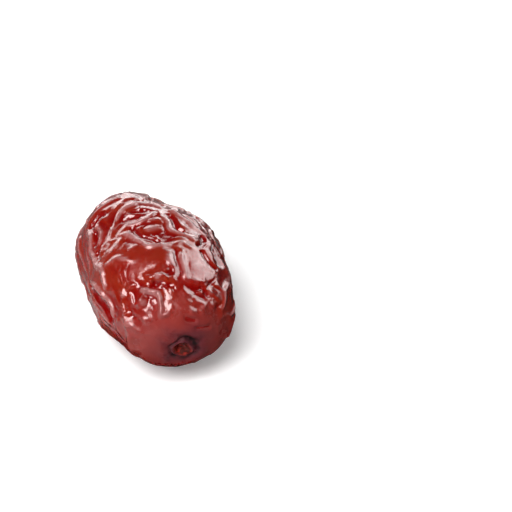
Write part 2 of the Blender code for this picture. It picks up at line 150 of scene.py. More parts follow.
# The long folds of the front: height and half width in millimetres, and the places they run through
FOLDS = [
    # over the far end and the top
    (0.55, 0.60, [(39, -57), (43, -48), (46, -38), (49, -25), (50, -10)]),
    (0.85, 0.60, [(22, -32), (27, -26), (33, -20), (38, -9), (41, -2), (37, 9), (30, 20)]),
    (0.95, 0.60, [(30, 20), (24, 27), (16, 29), (11, 36), (3, 39), (-1, 45), (4, 50)]),
    (0.45, 0.55, [(38, -30), (40, -22), (45, -15)]),
    (0.45, 0.55, [(36, -38), (40, -35), (44, -30)]),
    (0.70, 0.65, [(8, -27), (12, -18), (13, -12), (15, -4), (19, 4), (23, 12)]),
    (0.60, 0.50, [(12, -7), (11, 0), (9, 7), (10, 12)]),
    (0.60, 0.90, [(2, -12), (-1, -6), (-2, 2), (1, 9)]),
    (0.45, 0.80, [(15, 8), (8, 8), (1, 9)]),
    (0.50, 0.65, [(-14, -20), (-20, -25), (-26, -30)]),
    (0.70, 0.60, [(18, 13), (8, 13), (-2, 13), (-8, 19), (-11, 26), (-15, 33), (-19, 36)]),
    (0.90, 0.60, [(4, -31), (-2, -24), (-8, -20), (-17, -17), (-24, -11), (-25, 4), (-22, 15)]),
    (0.45, 0.50, [(4, -31), (9, -25)]),
    (0.45, 0.50, [(-16, -6), (-16, 0), (-18, 3)]),
    (0.55, 0.55, [(26, 33), (23, 40), (17, 45), (10, 50)]),
    (0.60, 0.55, [(9, 26), (3, 30), (-2, 37)]),
    # along the left flank
    (0.90, 0.60, [(38, -57), (20, -59), (3, -61), (-8, -62), (-17, -59), (-26, -59), (-37, -67)]),
    (0.65, 0.55, [(29, -55), (28, -50), (24, -46), (17, -45), (10, -49), (6, -56)]),
    (0.50, 0.50, [(2, -48), (-4, -52), (-12, -57)]),
    (0.65, 0.55, [(-21, -58), (-22, -50), (-23, -42), (-28, -35), (-32, -27)]),
    (0.75, 0.55, [(44, -71), (33, -74), (20, -78), (8, -80), (-6, -84), (-18, -87)]),
    (0.65, 0.50, [(22, -64), (13, -66), (2, -69), (-8, -76)]),
    (0.75, 0.45, [(-2, -31), (-7, -36), (-13, -42)]),
    (1.05, 0.60, [(-9, -76), (-20, -73), (-29, -72), (-38, -72), (-45, -76), (-49, -84)]),
    (0.55, 0.60, [(-49, -84), (-54, -90), (-58, -97)]),
    (0.70, 0.65, [(-14, -91), (-24, -89), (-38, -90), (-48, -90)]),
    # round the pinch above the stem end
    (1.10, 0.50, [(-51, -38), (-55, -32), (-60, -24), (-65, -25), (-70, -32), (-71, -23), (-69, -11)]),
    (0.90, 0.60, [(-47, -20), (-50, -13), (-51, -5)]),
    (0.85, 0.60, [(-44, -50), (-48, -53), (-52, -50)]),
    (0.85, 0.60, [(-55, -43), (-60, -42), (-63, -42)]),
    (0.70, 0.50, [(-57, -58), (-61, -59)]),
    (0.75, 0.55, [(-62, -55), (-66, -53), (-69, -47)]),
    (0.60, 0.50, [(-46, -44), (-49, -38)]),
    (0.60, 0.50, [(-55, -6), (-60, -9)]),
    (0.65, 0.45, [(-58, 3), (-61, 6)]),
    # down the right shoulder
    (0.70, 0.60, [(-29, 8), (-37, 3), (-47, 3)]),
    (0.65, 0.60, [(-30, 17), (-40, 15), (-50, 15), (-58, 14)]),
    (0.35, 1.20, [(-42, 17), (-43, 26), (-41, 35)]),
    (0.40, 1.30, [(-54, 17), (-56, 26), (-55, 36)]),
    (0.60, 0.55, [(-16, 14), (-17, 22), (-19, 29)]),
    (0.60, 0.55, [(-24, 11), (-23, 20), (-25, 27), (-28, 33)]),
    (0.80, 0.55, [(-5, 51), (-12, 48), (-18, 44), (-22, 41)]),
    (0.75, 0.60, [(-21, 44), (-27, 47), (-33, 50)]),
    (0.70, 0.55, [(-5, 53), (-12, 57), (-22, 61)]),
    (0.75, 0.60, [(-61, 24), (-61, 31), (-62, 37)]),
    (0.65, 0.50, [(-65, 26), (-65, 33)]),
    (0.70, 0.50, [(-53, 41), (-57, 44), (-61, 47)]),
    (0.65, 0.60, [(-61, 44), (-63, 51), (-65, 56)]),
    (0.70, 0.55, [(-70, 8), (-71, 18), (-73, 30)]),
    (0.55, 0.50, [(-66, 17), (-68, 24)]),
]

# The deepest hollows between them: depth and half width in millimetres, and where they run
HOLLOWS = [
    (0.60, 0.90, [(33, -54), (35, -46), (38, -39)]),
    (0.50, 0.70, [(28, -9), (28, -2)]),
    (0.50, 0.80, [(21, -20), (20, -10)]),
    (0.45, 0.70, [(5, -19), (-6, -15), (-14, -8), (-20, -1)]),
    (0.40, 0.60, [(-9, -4), (-8, 8)]),
    (0.70, 0.90, [(16, 20), (4, 20), (-3, 24)]),
    (0.60, 0.90, [(22, -51), (14, -53)]),
    (0.60, 0.90, [(0, -55), (-7, -55)]),
    (0.90, 1.30, [(-14, -79), (-25, -77), (-36, -77), (-45, -82)]),
    (0.60, 0.80, [(-53, -22), (-55, -10)]),
    (0.60, 0.60, [(-64, -20), (-68, -24)]),
    (0.90, 0.90, [(-6, 43), (-13, 41), (-18, 38)]),
    (0.80, 0.80, [(-13, 50), (-20, 51), (-28, 56)]),
    (0.70, 0.60, [(-27, 40), (-33, 43), (-36, 51)]),
    (0.60, 0.90, [(-31, 11), (-40, 11), (-50, 11)]),
    (0.50, 0.60, [(-57, 33), (-60, 40)]),
    (0.50, 0.60, [(-63, 26), (-63, 36)]),
    (0.50, 0.70, [(-75, 12), (-75, 25)]),
    (0.35, 0.45, [(-79, 42), (-77, 52), (-75, 62)]),
]

# The long folds of the back, the underside and the far end, which are drawn at random: how many,
# how far apart, the number of steps and the angle of each, how sharply they turn, and their
# heights and half widths in millimetres
BACK_FOLDS = 86
BACK_APART = 3.0 * MM
BACK_STEPS = (3, 5)
BACK_STEP = 9
BACK_TURN = 26
BACK_HEIGHTS = (0.55, 0.95)
BACK_WIDTHS = (0.48, 0.60)

# Where these folds may run: the middle of the front, how close to it they come as a cosine, the
# latitude beyond which they run anywhere, and the spots they leave clear with their radii
FRONT = (-24, -11)
FRONT_EDGE = 0.08
FAR_END = 55
CLEAR_SPOTS = [(0, 180, 7 * MM), (90, 0, 4 * MM)]

# The troughs beside the folds, as shares of each fold's height and width, and how many times their
# own width they are followed outwards
TROUGH_DEPTH = 0.5
TROUGH_WIDTH = 2.6
TROUGH_REACH = 3

# How a fold ends: the length over which it sinks, and the share of its height that is left
FOLD_END = 2.0 * MM
FOLD_END_SHARE = 0.2

# How the net dies away beside a fold: the share that is left, and how shallow a trough does it
NET_BY_FOLD = 0.15
NET_FADE = 0.05 * MM

# What bends the ridges' straight sides: height and length of each set of waves
WANDER = [(0.50 * MM, 5.5 * MM), (0.08 * MM, 2.0 * MM)]
FOLD_WANDER = 0.4

# How a ridge is shaped: the share of its sharp crest, how round that is, and how closely ridges join
CREST_SHARE = 0.55
CREST_ROUNDING = 0.8
SMOOTH_JOIN = 4

# How the cells are worked out: the tries for their middles, how far and over what length their
# spacing swings, the neighbours that count, how softly floors meet, and the points done at once
SPOT_TRIES = 9000
SPACING_SWING = 0.4
SPACING_LENGTH = 12 * MM
NEIGHBOURS = 6
FLOOR_BLEND = 0.6
CHUNK = 4000

# The steps of a fold's curve between two of its places
CURVE_STEPS = 6

# What random waves are made of: how many plane waves, and the range of their lengths as shares
PLANE_WAVES = 32
WAVE_RANGE = (0.8, 1.3)

# The seeds of all that is drawn at random. A pattern also uses some of the numbers after its own.
SEEDS = {
    "swell": 5,
    "back_folds": 7,
    "cup_outline": 60,
    "cup_floor": 61,
    "fold_wander": 70,
    "net": 100,
    "crumples": 200,
    "crinkle_wander": 400,
    "coarse_crinkles": 410,
    "fine_crinkles": 411,
    "crinkle_patches": 412,
    "pleat_bend": 430,
    "pleat_swing": 431,
}


def direction(latitude, longitude):
    """The unit vector from the fruit's middle to this place on it."""
    lat = math.radians(latitude)
    lon = math.radians(longitude)
    return np.array([math.cos(lat) * math.sin(lon), math.sin(lat), math.cos(lat) * math.cos(lon)])


def directions_of(places):
    """The unit vectors from the fruit's middle to these places on it."""
    return np.array([direction(*place) for place in places])


def body(directions):
    """The smooth body's surface in each of these directions from its middle."""
    across = np.hypot(directions[:, 0] / HALF_WIDTH, directions[:, 2] / HALF_HEIGHT)
    along = np.abs(directions[:, 1]) / HALF_LENGTH
    reach = (across**BLUNTNESS + along**BLUNTNESS) ** (-1 / BLUNTNESS)
    points = directions * reach[:, None]
    station = points[:, 1] / HALF_LENGTH
    points[:, 0] *= 1 + TAPER * station
    points[:, 2] *= 1 + TAPER * station
    points[:, 0] += BEND * station**2 + SKEW * station
    return points


def spot(latitude, longitude):
    """The point of the body at this place."""
    return body(direction(latitude, longitude)[None, :])[0]


def distance_from(points, latitude, longitude):
    """How far each point is from this place on the body."""
    return np.linalg.norm(points - spot(latitude, longitude), axis=1)


def unit(vector):
    """The vector of length 1 that points the same way."""
    return vector / np.linalg.norm(vector)


def units(vectors):
    """The vectors of length 1 that point the same ways."""
    return vectors / np.linalg.norm(vectors, axis=1, keepdims=True)


def ease(low, high, values):
    """A smooth step from 0 at low to 1 at high."""
    t = np.clip((values - low) / (high - low), 0, 1)
    return t * t * (3 - 2 * t)


def bump(distance, width):
    """A soft bump, 1 at its middle."""
    return np.exp(-((distance / width) ** 2))


def ridge(distance, width):
    """A sharp ridge with a slightly rounded crest, 1 on its line."""
    rounding = width * CREST_ROUNDING
    return np.exp((rounding - np.hypot(distance, rounding)) / width)


def highest(heights):
    """The highest of these at each point, joined smoothly."""
    return sum(height**SMOOTH_JOIN for height in heights) ** (1 / SMOOTH_JOIN)


def waves(points, length, seed):
    """A soft random swell of about this wavelength, made of plane waves."""
    rng = np.random.default_rng(seed)
    headings = units(rng.normal(size=(PLANE_WAVES, 3)))
    lengths = length * rng.uniform(*WAVE_RANGE, (PLANE_WAVES, 1))
    phases = rng.uniform(0, 2 * math.pi, PLANE_WAVES)
    heights = np.sin(points @ (headings * 2 * math.pi / lengths).T + phases)
    return heights.sum(1) * math.sqrt(2 / PLANE_WAVES)


def wander(points, seed):
    """How far each point is pushed about, which bends straight lines drawn over the skin."""
    push = np.zeros_like(points)
    for height, length in WANDER:
        for axis in range(3):
            push[:, axis] += height * waves(points, length, seed)
            seed += 1
    return push


def scattered_spots(spacing, stretch, seed):
    """Spots on the body, kept apart by a distance that changes slowly over it."""
    rng = np.random.default_rng(seed)
    headings = units(rng.normal(size=(SPOT_TRIES, 3)))
    points = body(headings) / np.array([1, stretch, 1])
    share = np.clip(0.5 + SPACING_SWING * waves(points, SPACING_LENGTH, seed + 1), 0, 1)
    gaps = spacing[0] + (spacing[1] - spacing[0]) * share
    kept = points[:1]
    for point, gap in zip(points, gaps):
        if np.min(np.linalg.norm(kept - point, axis=1)) > gap:
            kept = np.vstack([kept, point])
    return kept


def cells(points, seed, spacing, stretch, crest, skirt, weakest, tilt, step):
    """Ridges, from 0 to 1, where cells round scattered spots meet, and the cells' uneven floors."""
    rng = np.random.default_rng(seed)
    spots = scattered_spots(spacing, stretch, seed + 10)
    placed = (points + wander(points, seed + 20)) / np.array([1, stretch, 1])
    strength = np.triu(rng.uniform(weakest, 1, (len(spots), len(spots))), 1)
    strength += strength.T
    slopes = rng.normal(size=(len(spots), 3)) * tilt
    steps = rng.normal(size=len(spots)) * step
    ridges = np.empty(len(points))
    floors = np.empty(len(points))
    for start in range(0, len(points), CHUNK):
        chunk = slice(start, start + CHUNK)
        squared = ((placed[chunk, None, :] - spots[None]) ** 2).sum(2)
        near = np.argsort(squared, axis=1)[:, :NEIGHBOURS]
        own = near[:, :1]
        gaps = np.take_along_axis(squared, near, 1)
        apart = np.linalg.norm(spots[near] - spots[own], axis=2)
        apart[:, 0] = 1
        edge = (gaps - gaps[:, :1]) / (2 * apart)
        shape = CREST_SHARE * ridge(edge, crest) + (1 - CREST_SHARE) * ridge(edge, skirt)
        shape *= strength[own, near]
        ridges[chunk] = highest(shape[:, 1:].T)
        share = np.exp(-edge / (FLOOR_BLEND * crest))
        share[:, 0] = 1
        lean = ((placed[chunk, None, :] - spots[near]) * slopes[near]).sum(2) + steps[near]
        floors[chunk] = (share * lean).sum(1) / share.sum(1)
    return ridges, floors


def curve_through(heads):
    """A smooth curve over the body through the places in these directions."""
    heads = np.vstack([2 * heads[0] - heads[1], heads, 2 * heads[-1] - heads[-2]])
    curve = []
    for a, b, c, d in zip(heads, heads[1:], heads[2:], heads[3:]):
        for t in np.arange(CURVE_STEPS) / CURVE_STEPS:
            bent = 2 * b + (c - a) * t
            bent = bent + (2 * a - 5 * b + 4 * c - d) * t**2 + (3 * b - a - 3 * c + d) * t**3
            curve.append(unit(bent))
    return body(np.array(curve + [unit(heads[-2])]))


def distance_to_curve(points, curve):
    """Each point's distance from the curve, and the distance along it to its nearer end."""
    starts = curve[:-1]
    sides = np.diff(curve, axis=0)
    lengths = np.linalg.norm(sides, axis=1)
    travelled = np.concatenate([[0], np.cumsum(lengths)[:-1]])
    offsets = points[:, None, :] - starts[None]
    t = np.clip((offsets * sides).sum(2) / lengths**2, 0, 1)
    gaps = np.linalg.norm(offsets - t[:, :, None] * sides, axis=2)
    best = gaps.argmin(1)
    rows = np.arange(len(points))
    along = travelled[best] + t[rows, best] * lengths[best]
    return gaps[rows, best], np.minimum(along, lengths.sum() - along)


def drawn_path(rng):
    """The directions of a path that starts anywhere, runs along the fruit and turns at every step."""
    head = unit(rng.normal(size=3))
    turn = math.radians(BACK_TURN) * rng.normal()
    heads = [head]
    for _ in range(rng.integers(*BACK_STEPS, endpoint=True)):
        along = unit(np.array([0, 1, 0]) - head * head[1])
        across = np.cross(along, head)
        step = along * math.cos(turn) + across * math.sin(turn)
        head = unit(head + math.tan(math.radians(BACK_STEP)) * step)
        turn += math.radians(BACK_TURN) * rng.normal()
        heads.append(head)
    return np.array(heads)


def on_the_back(heads):
    """Whether each of these directions points away from the front or to the far end."""
    away = heads @ direction(*FRONT) < FRONT_EDGE
    far_end = heads[:, 1] > math.sin(math.radians(FAR_END))
    return (away | far_end).all()


def back_folds():
    """The folds that are drawn at random, with their middles kept apart."""
    rng = np.random.default_rng(SEEDS["back_folds"])
    middles = np.full((1, 3), np.inf)
    drawn = []
    while len(drawn) < BACK_FOLDS:
        heads = drawn_path(rng)
        places = body(heads)
        middle = places[len(places) // 2]
        clear = all(distance_from(places, lat, lon).min() > radius for lat, lon, radius in CLEAR_SPOTS)
        apart = np.linalg.norm(middles - middle, axis=1).min() > BACK_APART
        if on_the_back(heads) and clear and apart:
            middles = np.vstack([middles, middle])
            drawn.append((rng.uniform(*BACK_HEIGHTS), rng.uniform(*BACK_WIDTHS), heads))
    return drawn


def front_folds():
    """The folds that are placed one by one."""
    return [(height, width, directions_of(places)) for height, width, places in FOLDS]


def beside(points, heads, reach):
    """Which points lie near the curve through these heads, how far off it, and how far from its ends."""
    curve = curve_through(heads)
    near = np.where(((points > curve.min(0) - reach) & (points < curve.max(0) + reach)).all(1))[0]
    gap, end = distance_to_curve(points[near], curve)
    return near, gap, end


def folds(points):
    """The heights of the long folds' crests, and the depths of the troughs and hollows between them."""
    crests = np.zeros(len(points))
    troughs = np.zeros(len(points))
    placed = points + FOLD_WANDER * wander(points, SEEDS["fold_wander"])
    for height, width, heads in front_folds() + back_folds():
        side = TROUGH_WIDTH * width * MM
        near, gap, end = beside(placed, heads, TROUGH_REACH * side)
        strong = height * MM * (FOLD_END_SHARE + (1 - FOLD_END_SHARE) * ease(0, FOLD_END, end))
        crests[near] = highest([crests[near], strong * ridge(gap, width * MM)])
        troughs[near] = np.maximum(troughs[near], TROUGH_DEPTH * strong * bump(gap, side))
    for depth, width, places in HOLLOWS:
        near, gap, _ = beside(placed, directions_of(places), TROUGH_REACH * width * MM)
        troughs[near] = np.maximum(troughs[near], depth * MM * bump(gap, width * MM))
    return crests, troughs


def calmness(points):
    """The share of the net that is left at each point."""
    share = np.ones(len(points))
    inner, outer = CALM_EDGE
    for latitude, longitude, radius, left in CALM:
        distance = distance_from(points, latitude, longitude)
        share *= left + (1 - left) * ease(inner * radius, outer * radius, distance)
    return share


def crumpledness(points):
    """How crumpled the skin is at each point, from 0 to 1."""
    share = np.zeros(len(points))
    outer, inner = CRUMPLED_EDGE
    for latitude, longitude, radius in CRUMPLED:
        distance = distance_from(points, latitude, longitude)
        share = np.maximum(share, ease(outer * radius, inner * radius, distance))
    return share


def wrinkles(points):
    """How far the ridges of the skin are raised, and how far the skin between them is sunk."""
    ridges, floors = cells(points, SEEDS["net"], **NET)
    pinches, facets = cells(points, SEEDS["crumples"], **CRUMPLES)
    crests, troughs = folds(points)
    calm = calmness(points)
    crumpled = crumpledness(points)
    by_fold = NET_BY_FOLD + (1 - NET_BY_FOLD) * np.exp(-troughs / NET_FADE)
    raised = highest([NET_HEIGHT * ridges * calm * by_fold, crests, CRUMPLE_HEIGHT * pinches * crumpled])
    sunk = troughs + (NET_SINK - floors) * calm - facets * crumpled
    return raised, sunk


def lumps(points):
    """The soft lumps and dents of the whole body."""
    height = SWELL_HEIGHT * waves(points, SWELL_LENGTH, SEEDS["swell"])
    for latitude, longitude, radius, rise in LUMPS:
        height += rise * bump(distance_from(points, latitude, longitude), radius)
    return height


def cup_distance(points):
    """How far each point is from the stem cup's middle, made uneven so that the cup isn't quite round."""
    wobble, length = CUP_WOBBLE
    return distance_from(points, *STEM_SPOT) + wobble * waves(points, length, SEEDS["cup_outline"])


def stem_cup(points):
    """The cup at the stem end, with its groove, its collar and its pit."""
    distance = cup_distance(points)
    rim, foot = CUP_WALL
    height = -CUP_DEPTH * ease(rim * CUP_RADIUS, foot * CUP_RADIUS, distance)
    for radius, width, rise in CUP_RINGS:
        height += rise * bump(distance - radius, width)
    roughness, length = CUP_ROUGHNESS
    return height + roughness * waves(points, length, SEEDS["cup_floor"]) * bump(distance, CUP_RADIUS)


def tip_dimple(points):
    """The dimple at the far end."""
    return -TIP_DEPTH * bump(distance_from(points, *TIP_SPOT), TIP_RADIUS)


# The finest crinkles, which the plain solid lacks: height, length, how far they are drawn out along
# the fruit, how strongly they bend, and the share of the finer set among them
CRINKLE_HEIGHT = 0.025 * MM
CRINKLE_LENGTH = 1.3 * MM
CRINKLE_STRETCH = 1.6
CRINKLE_WANDER = 0.5
FINE_SHARE = 0.4

# Where they are strong and weak: their usual share, its swing, its least and the patches' length.
# Towards the stem cup they lose a share of their height between two distances from it.
PATCH_SHARE = 0.6
PATCH_SWING = 0.5
PATCH_LEAST = 0.1
PATCH_LENGTH = 7 * MM
STEM_FADE = (12 * MM, 7 * MM)
STEM_LOSS = 0.7

# The creases that run into the stem cup: height, how many, the distances over which they rise and
# fall, and the height and length of the waves that bend them and that make them uneven
PLEAT_HEIGHT = 0.04 * MM
PLEATS = 13
PLEAT_RISE = (2.2 * MM, 3.2 * MM)
PLEAT_FALL = (6.5 * MM, 4 * MM)
PLEAT_BEND = (0.25, 4 * MM)
PLEAT_SWING = (0.5, 5 * MM)

# The mesh of the skin: cuts along each side of the cube that it starts as, and how far its squares
# are drawn out with the body
CUTS = 124
EVENNESS = 0.6


def crinkles(points):
    """The finest creases of the skin, sharpest on their crests."""
    bent = points + CRINKLE_WANDER * wander(points, SEEDS["crinkle_wander"])
    placed = bent / np.array([1, CRINKLE_STRETCH, 1])
    coarse = 1 - np.abs(waves(placed, CRINKLE_LENGTH, SEEDS["coarse_crinkles"]))
    fine = 1 - np.abs(waves(placed, CRINKLE_LENGTH / 2, SEEDS["fine_crinkles"]))
    swing = PATCH_SWING * waves(points, PATCH_LENGTH, SEEDS["crinkle_patches"])
    patches = np.clip(PATCH_SHARE + swing, PATCH_LEAST, 1)
    near_stem = ease(*STEM_FADE, distance_from(points, *STEM_SPOT))
    return CRINKLE_HEIGHT * (coarse + FINE_SHARE * fine) * patches * (1 - STEM_LOSS * near_stem)


def pleats(points):
    """The shallow creases that run into the stem cup."""
    offset = points - spot(*STEM_SPOT)
    distance = np.linalg.norm(offset, axis=1)
    ring = ease(*PLEAT_RISE, distance) * ease(*PLEAT_FALL, distance)
    bend, bend_length = PLEAT_BEND
    around = np.arctan2(offset[:, 2], offset[:, 0]) + bend * waves(points, bend_length, SEEDS["pleat_bend"])
    swing, swing_length = PLEAT_SWING
    uneven = np.clip(0.5 + swing * waves(points, swing_length, SEEDS["pleat_swing"]), 0, 1)
    return PLEAT_HEIGHT * ring * uneven * np.cos(PLEATS * around)


def vectors_of(items, name):
    """One vector for each point of a mesh."""
    numbers = np.empty(len(items) * 3)
    items.foreach_get(name, numbers)
    return numbers.reshape(-1, 3)


def put_in_scene(name, data):
    """A new object that holds this mesh, light or camera."""
    thing = bpy.data.objects.new(name, data)
    bpy.context.scene.collection.objects.link(thing)
    return thing


def ball(name):
    """A ball of even squares, drawn out a little along the fruit so that they stay even on it."""
    cube = bmesh.new()
    bmesh.ops.create_cube(cube, size=2)
    bmesh.ops.subdivide_edges(cube, edges=cube.edges, cuts=CUTS, use_grid_fill=True)
    mesh = bpy.data.meshes.new(name)
    cube.to_mesh(mesh)
    cube.free()
    directions = units(np.tan(vectors_of(mesh.vertices, "co") * math.pi / 4))
    directions *= np.array([HALF_WIDTH, HALF_LENGTH, HALF_HEIGHT]) ** EVENNESS
    return mesh, units(directions)


def add_measure(mesh, name, values):
    """Keeps one value for each point of the mesh, for its material to read."""
    attribute = mesh.attributes.new(name, "FLOAT", "POINT")
    attribute.data.foreach_set("value", values.astype(np.float32))


def skin():
    """The whole skin of the fruit, with its flat resting spot."""
    mesh, directions = ball("jujube_skin")
    smooth = body(directions)
    mesh.vertices.foreach_set("co", smooth.ravel())
    mesh.update()
    raised, sunk = wrinkles(smooth)
    height = raised - sunk + lumps(smooth) + stem_cup(smooth) + tip_dimple(smooth)
    height += crinkles(smooth) + pleats(smooth)
    points = smooth + vectors_of(mesh.vertex_normals, "vector") * height[:, None] + MIDDLE
    points[:, 2] = np.maximum(points[:, 2], 0)
    mesh.vertices.foreach_set("co", points.ravel())
    mesh.update()
    mesh.shade_smooth()
    add_measure(mesh, "raised", raised / MM)
    add_measure(mesh, "haze", distance_from(smooth, *HAZY_SPOT) / MM)
    add_measure(mesh, "relief", (raised - sunk) / MM)
    add_measure(mesh, "stem", cup_distance(smooth) / MM)
    return put_in_scene("jujube_skin", mesh)


def new_material(name):
    """A material with nodes, its tree and its Principled shader."""
    material = bpy.data.materials.new(name)
    material.use_nodes = True
    tree = material.node_tree
    return material, tree, tree.nodes["Principled BSDF"]


def feed(tree, socket, value):
    """Links another node's output to a socket, or sets the socket's own value."""
    if isinstance(value, bpy.types.NodeSocket):
        tree.links.new(value, socket)
    else:
        socket.default_value = value


def coordinates(tree, kind="Object"):
    """Each point's place, and its X, Y and Z."""
    place = tree.nodes.new("ShaderNodeTexCoord").outputs[kind]
    split = tree.nodes.new("ShaderNodeSeparateXYZ")
    feed(tree, split.inputs[0], place)
    return place, split.outputs


def noise(tree, place, size, detail, roughness, distortion):
    """A soft random pattern, from 0 to 1, with features of this size."""
    node = tree.nodes.new("ShaderNodeTexNoise")
    feed(tree, node.inputs["Vector"], place)
    node.inputs["Scale"].default_value = 1 / size
    node.inputs["Detail"].default_value = detail
    node.inputs["Roughness"].default_value = roughness
    node.inputs["Distortion"].default_value = distortion
    return node.outputs["Fac"]


def between(tree, value, low, high, start=0, end=1):
    """A smooth step from start, where the value is low, to end, where it is high."""
    node = tree.nodes.new("ShaderNodeMapRange")
    node.interpolation_type = "SMOOTHSTEP"
    feed(tree, node.inputs["Value"], value)
    node.inputs["From Min"].default_value = low
    node.inputs["From Max"].default_value = high
    node.inputs["To Min"].default_value = start
    node.inputs["To Max"].default_value = end
    return node.outputs["Result"]


def work(tree, operation, first, second):
    """One sum, product or the like of two values."""
    node = tree.nodes.new("ShaderNodeMath")
    node.operation = operation
    feed(tree, node.inputs[0], first)
    feed(tree, node.inputs[1], second)
    return node.outputs["Value"]


# The places of the Mix node's colour sockets, which share their names with its other sockets
FIRST_COLOUR = 6
SECOND_COLOUR = 7
MIXED_COLOUR = 2


def blend_colour(tree, share, first, second):
    """The first colour, or the second one where share is 1."""
    node = tree.nodes.new("ShaderNodeMix")
    node.data_type = "RGBA"
    feed(tree, node.inputs["Factor"], share)
    feed(tree, node.inputs[FIRST_COLOUR], first)
    feed(tree, node.inputs[SECOND_COLOUR], second)
    return node.outputs[MIXED_COLOUR]


def length_of(tree, vector, scale=(1, 1, 1)):
    """The length of a vector, after each of its parts is made larger or smaller."""
    scaled = tree.nodes.new("ShaderNodeVectorMath")
    scaled.operation = "MULTIPLY"
    feed(tree, scaled.inputs[0], vector)
    scaled.inputs[1].default_value = scale
    node = tree.nodes.new("ShaderNodeVectorMath")
    node.operation = "LENGTH"
    feed(tree, node.inputs[0], scaled.outputs["Vector"])
    return node.outputs["Value"]


def measured(tree, name):
    """The value that the mesh keeps under this name."""
    node = tree.nodes.new("ShaderNodeAttribute")
    node.attribute_name = name
    return node.outputs["Fac"]


# The middle of the hazy patch on the right shoulder
HAZY_SPOT = (-46, 27)

# The skin's colours
# Painted shade: a deeper, darker red for the furrows and for the underside low on the fruit
SHADE_RED = (0.190, 0.0010, 0.0008, 1)
SKIN_RED = (0.220, 0.005, 0.002, 1)
RUSTY_RED = (0.240, 0.014, 0.004, 1)
# Painted highlight, partly a waxy bloom: a pale pink for the crests of the ridges
CREST_WAX_AND_HIGHLIGHT_PINK = (0.370, 0.165, 0.160, 1)
BLOOM_PINK = (0.220, 0.022, 0.018, 1)
BLOOM_PURPLE = (0.085, 0.014, 0.022, 1)
RING_BLACK = (0.012, 0.006, 0.006, 1)
CUP_BROWN = (0.040, 0.004, 0.002, 1)
CUP_RED = (0.300, 0.022, 0.014, 1)

# The patterns in the skin: the size of their features, their detail, roughness and distortion
MOTTLE = (7 * MM, 3, 0.6, 0.5)
PATCHES = (2.5 * MM, 2, 0.6, 0)
SPECKS = (1.1 * MM, 3, 0.6, 0)
GRAIN = (0.6 * MM, 3, 0.55, 0)
GRAIN_STRENGTH = 0.35
GRAIN_HEIGHT = 0.08 * MM

# How each colour sets in: where it begins, where it is full and, unless they are 0 and 1, its
# shares there. Heights are above the smooth skin and distances are from the middle of the stem cup,
# both in millimetres.
RUST = (0.35, 0.65)
# Painted shade: where the furrows and the underside low on the fruit turn the deeper, darker red
SHADED_FURROWS = (-0.1, -0.45)
SHADED_UNDERSIDE = (9 * MM, 6 * MM)
# Painted highlight, partly a waxy bloom: where the crests turn pale pink
CREST_WAX_AND_HIGHLIGHT = (0.3, 0.75, 0, 0.6)
BLOOM = (0, 1, 1, 0.2)
BLOOM_RAGGEDNESS = 6
PINK = (13, 9, 0, 0.8)
PURPLE = (8, 2, 0, 0.9)
RING_RADIUS = 2.8
RING_WIDTH = (0.7, 0.1)
RING_GAPS = (0.42, 0.58, 0.1)
CUP_SPECKS = (0.4, 0.6)
CUP_FLOOR = (2.2, 1.6)

# The roughness of the bare skin, and what the bloom, the crests, the hazy patch and the furrows add
ROUGH_SKIN = (0.3, 0.7, 0.16, 0.26)
ROUGH_BLOOM = (12, 6, 0, 0.14)
ROUGH_CRESTS = (0.25, 0.7, 0, 0.08)
ROUGH_HAZE = (6, 3, 0, 0.06)
ROUGH_FURROWS = (-0.1, -0.4, 0, -0.06)
SKIN_IOR = 1.5


def stem_colours(tree, colour, stem, patches, specks):
    """The skin's colour with the broken black ring and the red and brown floor of the stem cup."""
    from_ring = work(tree, "ABSOLUTE", work(tree, "SUBTRACT", stem, RING_RADIUS), 0)
    ring = work(tree, "MULTIPLY", between(tree, from_ring, *RING_WIDTH), between(tree, patches, *RING_GAPS))
    colour = blend_colour(tree, ring, colour, RING_BLACK)
    inside = blend_colour(tree, between(tree, specks, *CUP_SPECKS), CUP_BROWN, CUP_RED)
    return blend_colour(tree, between(tree, stem, *CUP_FLOOR), colour, inside)


def add_grain(tree, shader, place):
    """The skin's fine grain, which is too small for its mesh."""
    grain = tree.nodes.new("ShaderNodeBump")
    grain.inputs["Strength"].default_value = GRAIN_STRENGTH
    grain.inputs["Distance"].default_value = GRAIN_HEIGHT
    feed(tree, grain.inputs["Height"], noise(tree, place, *GRAIN))
    feed(tree, shader.inputs["Normal"], grain.outputs["Normal"])


